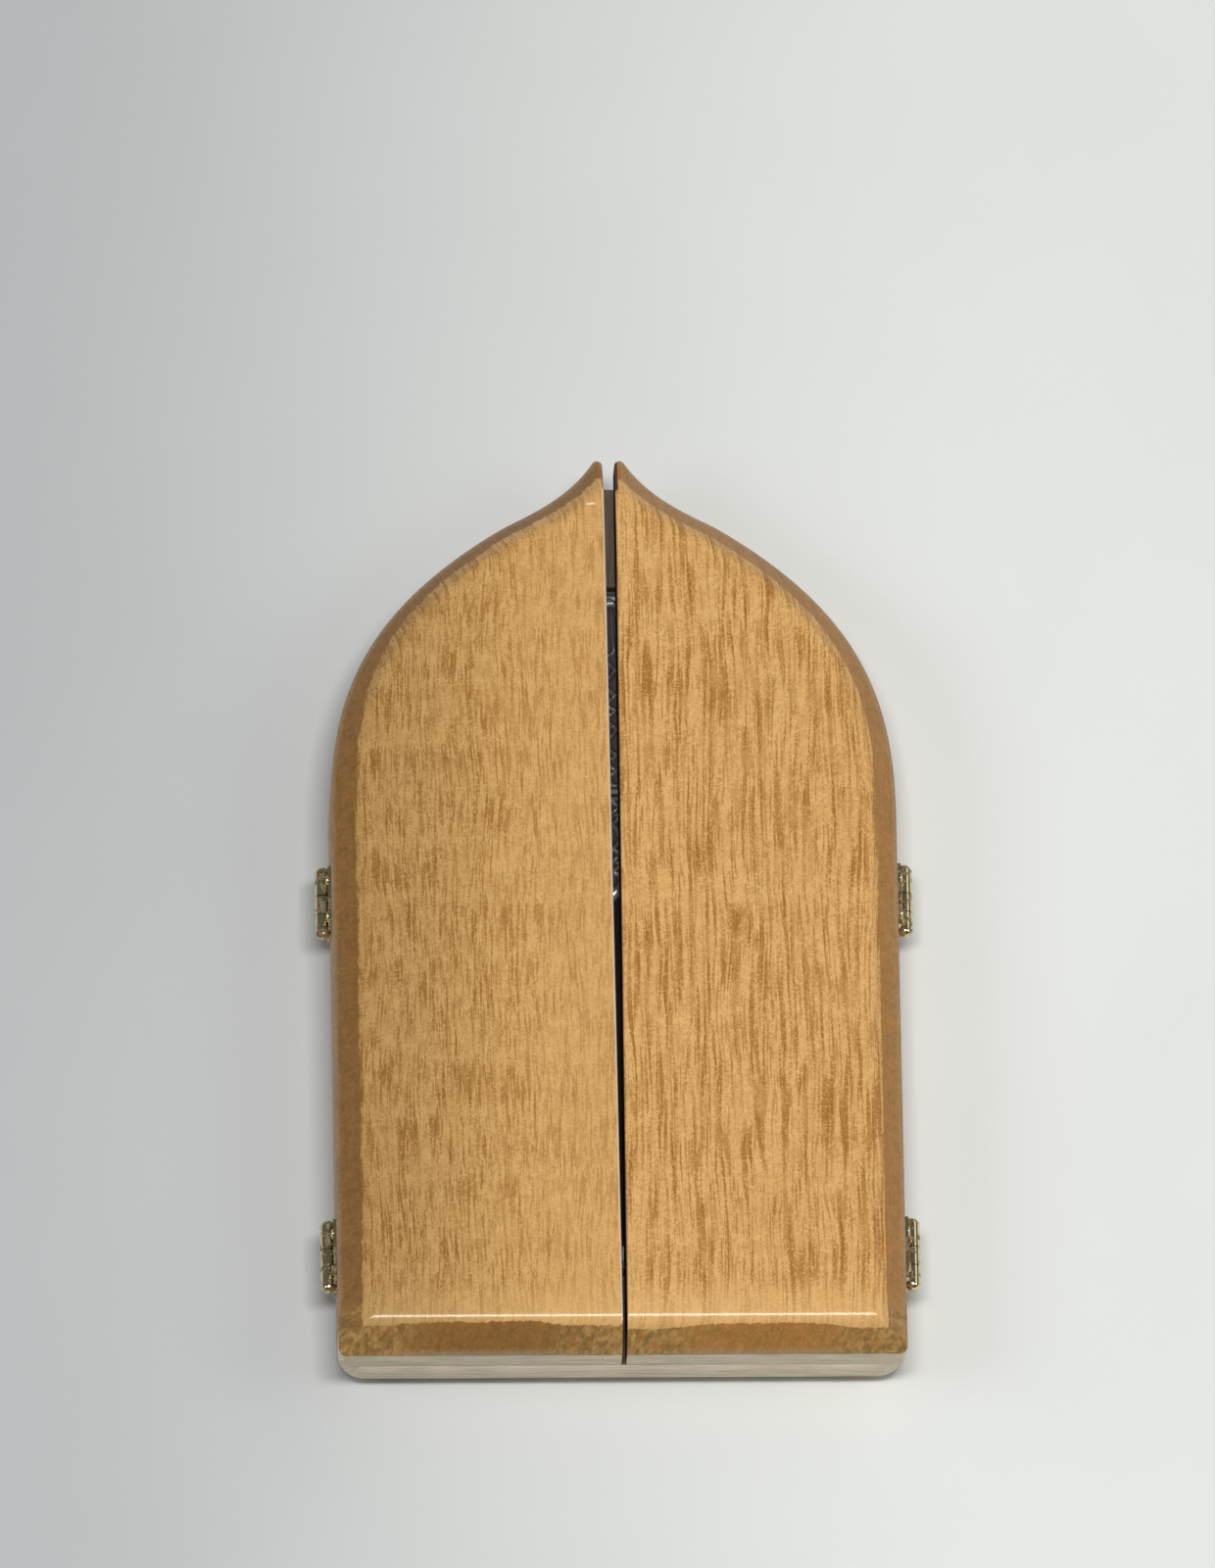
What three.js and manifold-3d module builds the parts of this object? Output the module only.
// Pocket triptych: an ogee-topped wooden back panel with a relief plaque,
// closed by two half doors on four small butt hinges.
// Millimetres. It lies on its back: +Z comes out of the doors' faces,
// +Y runs from the foot to the point, +X is to the right.
import * as THREE from 'three';
import { mergeVertices } from 'three/addons/utils/BufferGeometryUtils.js';
import Module from 'manifold-3d';

const wasm = await Module();
wasm.setup();

// Outline of the case, seen from the front, foot at y = 0.
const HALF_WIDTH = 40;
const SPRING_Y = 80;
const SHOULDER_HANDLE = 17;
const INFLECTION_X = 15.3;
const INFLECTION_Y = 123.6;
const INFLECTION_RISE = 0.556;
const SHOULDER_REACH = 24.4;
const NECK_REACH = 3.4;
const APEX_X = 0.35;
const APEX_Y = 137.1;
const APEX_RISE = 1.23;
const APEX_REACH = 9;
const DOOR_CORNER_RADIUS = 1.2;
const BACK_CORNER_RADIUS = 3.8;

// Thicknesses, from the rear face upwards.
const BACK_THICKNESS = 8.4;
const DOOR_REAR_Z = 8.5;
const DOOR_THICKNESS = 8.4;
const DOOR_FACE_Z = DOOR_REAR_Z + DOOR_THICKNESS;

// Edge profiles as [distance in from the wall, distance from the face].
const DOOR_BEVEL = [
  [0, 4.2],
  [0.25, 3.93],
  [3.1, 0.84],
  [3.54, 0.47],
  [4.01, 0.22],
  [4.53, 0.055],
  [5.08, 0],
];
const REAR_BEVEL = [
  [3, 0],
  [1.9, 0.35],
  [0.9, 1.2],
  [0, 3],
];

// The doors' meeting edges: distance from the centre line at foot and point,
// and how far the point leans outwards from the whole outline.
const LEFT_MEETING = [0.1, 0.7, 0];
const RIGHT_MEETING = [0.45, 1.05, 0.35];
const DOOR_TIP_RADIUS = 0.75;
const BACK_TIP_RADIUS = 10;

// Plaque and its recess.
const PLAQUE_SCALE = 0.7125;
const PLAQUE_FOOT_Y = 13;
const PLAQUE_SPRING_Y = 78;
const PLAQUE_TOP_Y = 116.2;
const PLAQUE_COLUMNS = 26;
const PLAQUE_ROWS = 46;
const RECESS_DEPTH = 2.4;
const RECESS_CLEARANCE = 0.3;
const PLAQUE_GROUND = 0.9;
const BORDER_WIDTH = 2.6;
const BORDER_HEIGHT = 0.9;
const FIGURE_OFFSET = 13;
const COLUMN_HALF_WIDTH = 1.7;
const COLUMN_FOOT_Y = 71;
const ARCH_SPRING_Y = 86;
const ARCH_RADIUS = 12.4;

// Hinges: small brass butts on the side walls, axis level with the seam.
const HINGE_Y = { lower: 16.2, upper: 69 };
const HINGE_LENGTH = 9.1;
const LEAF_THICKNESS = 0.5;
const LEAF_HEIGHT = 3.25;
const BARREL_RADIUS = 1.1;
const BARREL_GAP = 0.05;
const AXIS_X = HALF_WIDTH + BARREL_RADIUS + BARREL_GAP;
const AXIS_Z = (BACK_THICKNESS + DOOR_REAR_Z) / 2;
const KNUCKLE_SPLITS = [0.3, 0.6];
const KNUCKLE_GAP = 0.12;
const NOTCH_CLEARANCE = 0.15;
const BORE_RADIUS = 0.56;
const PIN_RADIUS = 0.45;
const PIN_HEAD_RADIUS = 1;
const PIN_HEAD_HEIGHT = 0.8;
const NAIL_SPACING = 5.4;
const NAIL_DROP = 2.2;
const NAIL_HEAD_RADIUS = 0.75;
const NAIL_HEAD_HEIGHT = 0.32;
const NAIL_SHANK_RADIUS = 0.38;
const NAIL_LENGTH = 4;
const NAIL_HOLE_RADIUS = 0.5;

const MATERIALS = {
  doorWood: { color: 0xcda069, roughness: 0.42, metalness: 0 },
  backWood: { color: 0xb98f62, roughness: 0.45, metalness: 0 },
  brass: { color: 0xcbb275, roughness: 0.32, metalness: 1 },
  silver: { color: 0xb9b7b0, roughness: 0.38, metalness: 1 },
};

// ---------------------------------------------------------------- geometry

function ogeeCurve() {
  const rise = new THREE.Vector2(-Math.cos(INFLECTION_RISE), Math.sin(INFLECTION_RISE));
  const end = new THREE.Vector2(-Math.cos(APEX_RISE), Math.sin(APEX_RISE));
  const inflection = new THREE.Vector2(INFLECTION_X, INFLECTION_Y);
  const apex = new THREE.Vector2(APEX_X, APEX_Y);
  const shoulder = new THREE.CubicBezierCurve(
    new THREE.Vector2(HALF_WIDTH, SPRING_Y),
    new THREE.Vector2(HALF_WIDTH, SPRING_Y + SHOULDER_HANDLE),
    inflection.clone().addScaledVector(rise, -SHOULDER_REACH),
    inflection,
  );
  const neck = new THREE.CubicBezierCurve(
    inflection,
    inflection.clone().addScaledVector(rise, NECK_REACH),
    apex.clone().addScaledVector(end, -APEX_REACH),
    apex,
  );
  const path = new THREE.CurvePath();
  path.add(shoulder);
  path.add(neck);
  return path;
}

const OGEE = ogeeCurve();
const OGEE_STEPS = 400;

// Point of the ogee moved square to it by an inset; t runs from spring to apex.
function ogeePoint(t, inset) {
  const point = OGEE.getPointAt(t);
  const before = OGEE.getPointAt(Math.max(0, t - 0.001));
  const after = OGEE.getPointAt(Math.min(1, t + 0.001));
  const tangent = after.clone().sub(before).normalize();
  const outward = new THREE.Vector2(tangent.y, -tangent.x);
  point.addScaledVector(outward, -inset);
  return { point, angle: Math.atan2(outward.y, outward.x) };
}

// Where the inset ogee reaches a given distance from the centre line.
function ogeeCrossing(inset, x) {
  let before = ogeePoint(0, inset).point.x;
  for (let i = 1; i <= OGEE_STEPS; i += 1) {
    const after = ogeePoint(i / OGEE_STEPS, inset).point.x;
    if (after <= x) {
      return (i - (x - after) / (before - after)) / OGEE_STEPS;
    }
    before = after;
  }
  return 1;
}

// Right half of the outline at an inset, from the foot round to the tip.
// meeting is null for a whole panel or [x at foot, x at point, lean] for a door.
function halfOutline(inset, tipRadius, cornerRadius, meeting) {
  const points = [];
  const corner = Math.max(cornerRadius - inset, 0.25);
  const side = HALF_WIDTH - inset;
  const meetAt = (y) => (meeting ? meeting[0] + ((meeting[1] - meeting[0]) * y) / APEX_Y : 0);
  points.push(new THREE.Vector2(meetAt(inset), inset));
  for (const share of [0.33, 0.67]) {
    points.push(new THREE.Vector2(share * (side - corner), inset));
  }
  for (let i = 0; i <= 5; i += 1) {
    const angle = -Math.PI / 2 + (Math.PI / 2) * (i / 5);
    points.push(new THREE.Vector2(
      side - corner + corner * Math.cos(angle),
      inset + corner + corner * Math.sin(angle),
    ));
  }
  for (const share of [0.33, 0.67]) {
    points.push(new THREE.Vector2(side, share * SPRING_Y));
  }
  const lean = meeting ? meeting[2] : 0;
  const edge = meeting ? meeting[1] - lean : -tipRadius;
  const centreX = edge + tipRadius;
  const stop = ogeeCrossing(inset + tipRadius, centreX);
  const steps = 26;
  for (let i = 0; i <= steps; i += 1) {
    points.push(ogeePoint((stop * i) / steps, inset).point);
  }
  const last = ogeePoint(stop, inset);
  const centreY = last.point.y - tipRadius * Math.sin(last.angle);
  const turns = meeting ? [last.angle, Math.PI / 2, Math.PI] : [last.angle, Math.PI / 2];
  const arcSteps = meeting ? 2 : 4;
  for (let leg = 1; leg < turns.length; leg += 1) {
    for (let i = 1; i <= arcSteps; i += 1) {
      const angle = turns[leg - 1] + ((turns[leg] - turns[leg - 1]) * i) / arcSteps;
      points.push(new THREE.Vector2(
        Math.max(centreX + tipRadius * Math.cos(angle), meeting ? edge : 0),
        centreY + tipRadius * Math.sin(angle),
      ));
    }
  }
  for (const point of points) {
    const rise = Math.max(point.y - SPRING_Y, 0) / (APEX_Y - SPRING_Y);
    point.x += lean * rise * rise;
  }
  return points;
}

// Closed solid through a stack of rings with equal counts, lowest ring first.
// Each ring runs counter-clockwise seen from +Z.
function ringSolid(rings) {
  const count = rings[0].length;
  const positions = [];
  const index = [];
  for (const ring of rings) {
    for (const p of ring) {
      positions.push(p.x, p.y, p.z);
    }
  }
  for (let level = 0; level < rings.length - 1; level += 1) {
    for (let i = 0; i < count; i += 1) {
      const a = level * count + i;
      const b = level * count + ((i + 1) % count);
      index.push(a, b, b + count);
      index.push(a, b + count, a + count);
    }
  }
  const cap = (ring, base, up) => {
    const flat = ring.map((p) => new THREE.Vector2(p.x, p.y));
    for (const [a, b, c] of THREE.ShapeUtils.triangulateShape(flat, [])) {
      index.push(base + a, base + (up ? b : c), base + (up ? c : b));
    }
  };
  cap(rings[0], 0, false);
  cap(rings[rings.length - 1], (rings.length - 1) * count, true);
  const geometry = new THREE.BufferGeometry();
  geometry.setAttribute('position', new THREE.Float32BufferAttribute(positions, 3));
  geometry.setIndex(index);
  geometry.computeVertexNormals();
  return geometry;
}

function toSolid(geometry) {
  const bare = geometry.clone();
  bare.deleteAttribute('normal');
  bare.deleteAttribute('uv');
  const merged = mergeVertices(bare, 1e-4);
  return new wasm.Manifold(new wasm.Mesh({
    numProp: 3,
    vertProperties: new Float32Array(merged.attributes.position.array),
    triVerts: new Uint32Array(merged.index.array),
  }));
}

function toGeometry(solid) {
  const mesh = solid.getMesh();
  const geometry = new THREE.BufferGeometry();
  geometry.setAttribute('position', new THREE.BufferAttribute(mesh.vertProperties, 3));
  geometry.setIndex(new THREE.BufferAttribute(mesh.triVerts, 1));
  geometry.computeVertexNormals();
  return geometry;
}

function box(x0, x1, y0, y1, z0, z1) {
  const geometry = new THREE.BoxGeometry(x1 - x0, y1 - y0, z1 - z0);
  geometry.translate((x0 + x1) / 2, (y0 + y1) / 2, (z0 + z1) / 2);
  return geometry;
}

// Rod along X or Y between two ends.
function rod(axis, radius, from, to, u, v, sides) {
  const geometry = new THREE.CylinderGeometry(radius, radius, to - from, sides);
  if (axis === 'x') {
    geometry.rotateZ(-Math.PI / 2);
    geometry.translate((from + to) / 2, u, v);
  } else {
    geometry.translate(u, (from + to) / 2, v);
  }
  return geometry;
}

const group = new THREE.Group();
const assembly = new THREE.Group();
group.add(assembly);

function addPart(name, geometry, look) {
  const mesh = new THREE.Mesh(geometry, new THREE.MeshStandardMaterial(MATERIALS[look]));
  mesh.name = name;
  assembly.add(mesh);
  return mesh;
}

// ------------------------------------------------------------ nail positions

const SIDES = { left: -1, right: 1 };
const LEVELS = ['upper', 'lower'];
const LEAVES = { door: 1, back: -1 };

function nailSpots(leaf) {
  const spots = [];
  for (const level of LEVELS) {
    for (const end of [-1, 1]) {
      spots.push({
        level,
        number: end < 0 ? 1 : 2,
        y: HINGE_Y[level] + (end * NAIL_SPACING) / 2,
        z: AXIS_Z + LEAVES[leaf] * NAIL_DROP,
      });
    }
  }
  return spots;
}

// Pilot hole through a side wall for one nail.
function pilotHole(sign, spot) {
  const depth = NAIL_LENGTH + 0.4;
  const inner = HALF_WIDTH - depth;
  const outer = HALF_WIDTH + 1;
  const from = sign > 0 ? inner : -outer;
  const to = sign > 0 ? outer : -inner;
  return rod('x', NAIL_HOLE_RADIUS, from, to, spot.y, spot.z, 8);
}

// ------------------------------------------------------------------- doors

function doorGeometry(sign, meeting) {
  const levels = [[0, DOOR_REAR_Z]];
  for (const [inset, drop] of DOOR_BEVEL) {
    levels.push([inset, DOOR_FACE_Z - drop]);
  }
  const rings = levels.map(([inset, z]) => {
    const tip = Math.max(DOOR_TIP_RADIUS - inset * 0.12, 0.3);
    const half = halfOutline(inset, tip, DOOR_CORNER_RADIUS, meeting);
    const ring = half.map((p) => new THREE.Vector3(sign * p.x, p.y, z));
    return sign > 0 ? ring : ring.reverse();
  });
  let solid = toSolid(ringSolid(rings));
  for (const spot of nailSpots('door')) {
    solid = solid.subtract(toSolid(pilotHole(sign, spot)));
  }
  return toGeometry(solid);
}

// -------------------------------------------------------------- back panel

// Half width of the plaque at a height, from the same ogee at a smaller scale.
function plaqueHalfWidth(y) {
  if (y <= PLAQUE_SPRING_Y) {
    return HALF_WIDTH * PLAQUE_SCALE;
  }
  const target = SPRING_Y + (y - PLAQUE_SPRING_Y) / PLAQUE_SCALE;
  let low = 0;
  let high = 1;
  for (let i = 0; i < 30; i += 1) {
    const mid = (low + high) / 2;
    if (OGEE.getPointAt(mid).y < target) {
      low = mid;
    } else {
      high = mid;
    }
  }
  return OGEE.getPointAt(low).x * PLAQUE_SCALE;
}

function plaqueRows() {
  const rows = [];
  const straight = Math.round(PLAQUE_ROWS * 0.6);
  for (let i = 0; i < straight; i += 1) {
    rows.push(PLAQUE_FOOT_Y + ((PLAQUE_SPRING_Y - PLAQUE_FOOT_Y) * i) / straight);
  }
  const upper = PLAQUE_ROWS - straight;
  for (let i = 0; i <= upper; i += 1) {
    rows.push(PLAQUE_SPRING_Y + ((PLAQUE_TOP_Y - PLAQUE_SPRING_Y) * i) / upper);
  }
  return rows;
}

function recessSolid() {
  const ring = [];
  const rows = plaqueRows();
  const grow = RECESS_CLEARANCE;
  for (const y of rows) {
    ring.push([plaqueHalfWidth(y) + grow, y]);
  }
  ring[0][1] -= grow;
  ring[ring.length - 1][1] += grow;
  const mirrored = ring.map(([x, y]) => [-x, y]).reverse();
  const outline = ring.concat(mirrored);
  const levels = [BACK_THICKNESS - RECESS_DEPTH, BACK_THICKNESS + 1];
  return ringSolid(levels.map((z) => outline.map(([x, y]) => new THREE.Vector3(x, y, z))));
}

function backGeometry() {
  const levels = REAR_BEVEL.map(([inset, z]) => [inset, z]);
  levels.push([0, BACK_THICKNESS]);
  const rings = levels.map(([inset, z]) => {
    const half = halfOutline(inset, BACK_TIP_RADIUS - inset * 0.5, BACK_CORNER_RADIUS, null);
    const right = half.map((p) => new THREE.Vector3(p.x, p.y, z));
    const left = half.slice(1, -1).reverse().map((p) => new THREE.Vector3(-p.x, p.y, z));
    return right.concat(left);
  });
  let solid = toSolid(ringSolid(rings)).subtract(toSolid(recessSolid()));
  for (const sign of Object.values(SIDES)) {
    for (const spot of nailSpots('back')) {
      solid = solid.subtract(toSolid(pilotHole(sign, spot)));
    }
  }
  return toGeometry(solid);
}

// ------------------------------------------------------------------ plaque

function dome(dx, dy, rx, ry, height) {
  const q = 1 - (dx / rx) ** 2 - (dy / ry) ** 2;
  return q > 0 ? height * Math.sqrt(q) : 0;
}

function capsule(x, y, ax, ay, bx, by, radius, height) {
  const dx = bx - ax;
  const dy = by - ay;
  const along = Math.min(1, Math.max(0, ((x - ax) * dx + (y - ay) * dy) / (dx * dx + dy * dy)));
  return dome(x - ax - along * dx, y - ay - along * dy, radius, radius, height);
}

// Robe's half width at each height.
const ROBE = [
  [19, 8.8],
  [34, 7.9],
  [52, 7.4],
  [66, 8.2],
  [76, 8.6],
  [81, 7.4],
  [84.5, 3.6],
  [86, 1.8],
];

function robeHalfWidth(y) {
  for (let i = 0; i < ROBE.length - 1; i += 1) {
    const [y0, w0] = ROBE[i];
    const [y1, w1] = ROBE[i + 1];
    if (y >= y0 && y <= y1) {
      return w0 + ((w1 - w0) * (y - y0)) / (y1 - y0);
    }
  }
  return 0;
}

// One standing haloed figure; x is measured outwards from its own axis.
function figureHeight(x, y) {
  let height = Math.hypot(x, y - 89.5) < 7.6 ? 0.3 : 0;
  height = Math.max(height, dome(x + 0.3, y - 89.8, 4.5, 5.4, 0.9));
  height = Math.max(height, dome(x + 0.7, y - 89.2, 3.2, 4.3, 1.25));
  const robe = robeHalfWidth(y);
  if (robe > 0) {
    height = Math.max(height, dome(x, 0, robe, 1, 1.05));
  }
  height = Math.max(height, capsule(x, y, 6, 77, 5, 67, 2.4, 1.2));
  height = Math.max(height, capsule(x, y, 5, 67, -2.2, 69, 2, 1.3));
  height = Math.max(height, capsule(x, y, -6, 77, -6, 68, 2.2, 1.15));
  height = Math.max(height, dome(x + 3, y - 71.5, 1.5, 2.6, 1.3));
  height = Math.max(height, dome(x + 3.4, y - 19.2, 2.2, 1.6, 0.8));
  height = Math.max(height, dome(x - 2.6, y - 18.9, 2.2, 1.6, 0.8));
  return height;
}

function reliefHeight(x, y) {
  const edge = Math.min(
    plaqueHalfWidth(y) - Math.abs(x),
    y - PLAQUE_FOOT_Y,
    (PLAQUE_TOP_Y - y) * 0.7 + 1,
  );
  if (edge < BORDER_WIDTH) {
    return BORDER_HEIGHT;
  }
  if (Math.abs(x) < COLUMN_HALF_WIDTH && y > COLUMN_FOOT_Y && y < ARCH_SPRING_Y) {
    return BORDER_HEIGHT;
  }
  const outward = Math.abs(x) - FIGURE_OFFSET;
  const arch = Math.hypot(outward, Math.max(y - ARCH_SPRING_Y, 0)) - ARCH_RADIUS;
  if (arch > -0.8 && y > ARCH_SPRING_Y) {
    return 0.6;
  }
  return figureHeight(outward, y);
}

function plaqueGeometry() {
  const floor = BACK_THICKNESS - RECESS_DEPTH;
  const rows = plaqueRows();
  const columns = PLAQUE_COLUMNS;
  const positions = [];
  const index = [];
  for (const y of rows) {
    const half = plaqueHalfWidth(y);
    for (let i = 0; i <= columns; i += 1) {
      const x = half * ((2 * i) / columns - 1);
      positions.push(x, y, floor + PLAQUE_GROUND + reliefHeight(x, y));
    }
  }
  const at = (row, column) => row * (columns + 1) + column;
  for (let r = 0; r < rows.length - 1; r += 1) {
    for (let c = 0; c < columns; c += 1) {
      index.push(at(r, c), at(r, c + 1), at(r + 1, c + 1));
      index.push(at(r, c), at(r + 1, c + 1), at(r + 1, c));
    }
  }
  const rim = [];
  for (let c = 0; c < columns; c += 1) {
    rim.push(at(0, c));
  }
  for (let r = 0; r < rows.length - 1; r += 1) {
    rim.push(at(r, columns));
  }
  for (let c = columns; c > 0; c -= 1) {
    rim.push(at(rows.length - 1, c));
  }
  for (let r = rows.length - 1; r > 0; r -= 1) {
    rim.push(at(r, 0));
  }
  const base = positions.length / 3;
  for (const top of rim) {
    positions.push(positions[3 * top], positions[3 * top + 1], floor);
  }
  for (let i = 0; i < rim.length; i += 1) {
    const j = (i + 1) % rim.length;
    index.push(base + i, base + j, rim[j]);
    index.push(base + i, rim[j], rim[i]);
  }
  const flat = rim.map((top) => new THREE.Vector2(positions[3 * top], positions[3 * top + 1]));
  for (const [a, b, c] of THREE.ShapeUtils.triangulateShape(flat, [])) {
    index.push(base + a, base + c, base + b);
  }
  const geometry = new THREE.BufferGeometry();
  geometry.setAttribute('position', new THREE.Float32BufferAttribute(positions, 3));
  geometry.setIndex(index);
  geometry.computeVertexNormals();
  return geometry;
}

// ------------------------------------------------------------------ hinges

// Knuckles counted from the foot: the middle one belongs to the door's leaf.
function knuckleRanges() {
  const [a, b] = KNUCKLE_SPLITS;
  const half = KNUCKLE_GAP / 2;
  return [
    [0, a * HINGE_LENGTH - half],
    [a * HINGE_LENGTH + half, b * HINGE_LENGTH - half],
    [b * HINGE_LENGTH + half, HINGE_LENGTH],
  ];
}

function leafGeometry(sign, level, leaf) {
  const foot = HINGE_Y[level] - HINGE_LENGTH / 2;
  const head = HINGE_Y[level] + HINGE_LENGTH / 2;
  const up = LEAVES[leaf];
  const wall = HALF_WIDTH;
  const near = Math.min(AXIS_Z, AXIS_Z + up * LEAF_HEIGHT);
  const far = Math.max(AXIS_Z, AXIS_Z + up * LEAF_HEIGHT);
  const x0 = sign > 0 ? wall : -wall - LEAF_THICKNESS;
  const x1 = sign > 0 ? wall + LEAF_THICKNESS : -wall;
  let solid = toSolid(box(x0, x1, foot, head, near, far));
  const notch = BARREL_RADIUS + NOTCH_CLEARANCE;
  knuckleRanges().forEach(([from, to], place) => {
    const own = (place === 1) === (leaf === 'door');
    if (own) {
      const tube = rod('y', BARREL_RADIUS, foot + from, foot + to, sign * AXIS_X, AXIS_Z, 16);
      solid = solid.add(toSolid(tube));
    } else {
      const y0 = place === 0 ? foot - 1 : foot + from - KNUCKLE_GAP;
      const y1 = place === 2 ? head + 1 : foot + to + KNUCKLE_GAP;
      const cut = box(x0 - 1, x1 + 1, y0, y1, AXIS_Z - notch, AXIS_Z + notch);
      solid = solid.subtract(toSolid(cut));
    }
  });
  const bore = rod('y', BORE_RADIUS, foot - 1, head + 1, sign * AXIS_X, AXIS_Z, 12);
  solid = solid.subtract(toSolid(bore));
  for (const spot of nailSpots(leaf).filter((s) => s.level === level)) {
    solid = solid.subtract(toSolid(pilotHole(sign, spot)));
  }
  return toGeometry(solid);
}

function pinGeometry() {
  const half = HINGE_LENGTH / 2;
  const seat = half + 0.04;
  const profile = [
    [0, -seat - PIN_HEAD_HEIGHT],
    [PIN_HEAD_RADIUS * 0.6, -seat - PIN_HEAD_HEIGHT * 0.8],
    [PIN_HEAD_RADIUS, -seat - PIN_HEAD_HEIGHT * 0.25],
    [PIN_HEAD_RADIUS, -seat],
    [PIN_RADIUS, -seat],
    [PIN_RADIUS, seat],
    [PIN_HEAD_RADIUS, seat],
    [PIN_HEAD_RADIUS, seat + PIN_HEAD_HEIGHT * 0.25],
    [PIN_HEAD_RADIUS * 0.6, seat + PIN_HEAD_HEIGHT * 0.8],
    [0, seat + PIN_HEAD_HEIGHT],
  ];
  return new THREE.LatheGeometry(profile.map(([r, y]) => new THREE.Vector2(r, y)), 10);
}

// Round-headed nail along +Y, the underside of its head at the origin.
function nailGeometry() {
  const profile = [
    [0, -NAIL_LENGTH],
    [NAIL_SHANK_RADIUS, -NAIL_LENGTH + 0.7],
    [NAIL_SHANK_RADIUS, 0],
    [NAIL_HEAD_RADIUS, 0],
    [NAIL_HEAD_RADIUS * 0.92, NAIL_HEAD_HEIGHT * 0.5],
    [0, NAIL_HEAD_HEIGHT],
  ];
  return new THREE.LatheGeometry(profile.map(([r, y]) => new THREE.Vector2(r, y)), 8);
}

// ---------------------------------------------------------------- assembly

addPart('back_panel', backGeometry(), 'backWood');
addPart('relief_plaque', plaqueGeometry(), 'silver');
addPart('left_door', doorGeometry(-1, LEFT_MEETING), 'doorWood');
addPart('right_door', doorGeometry(1, RIGHT_MEETING), 'doorWood');

for (const [side, sign] of Object.entries(SIDES)) {
  for (const level of LEVELS) {
    const hinge = `${level}_${side}`;
    for (const leaf of Object.keys(LEAVES)) {
      addPart(`${hinge}_hinge_${leaf}_leaf`, leafGeometry(sign, level, leaf), 'brass');
      for (const spot of nailSpots(leaf).filter((s) => s.level === level)) {
        const nail = addPart(`${hinge}_${leaf}_nail_${spot.number}`, nailGeometry(), 'brass');
        nail.rotation.z = (-sign * Math.PI) / 2;
        nail.position.set(sign * (HALF_WIDTH + LEAF_THICKNESS), spot.y, spot.z);
      }
    }
    const pin = addPart(`${hinge}_hinge_pin`, pinGeometry(), 'brass');
    pin.position.set(sign * AXIS_X, HINGE_Y[level], AXIS_Z);
  }
}

// Origin at the middle of the lying case, on the surface it lies on.
assembly.updateMatrixWorld(true);
const bounds = new THREE.Box3().setFromObject(assembly);
assembly.position.y = -(bounds.min.y + bounds.max.y) / 2;

export default group;
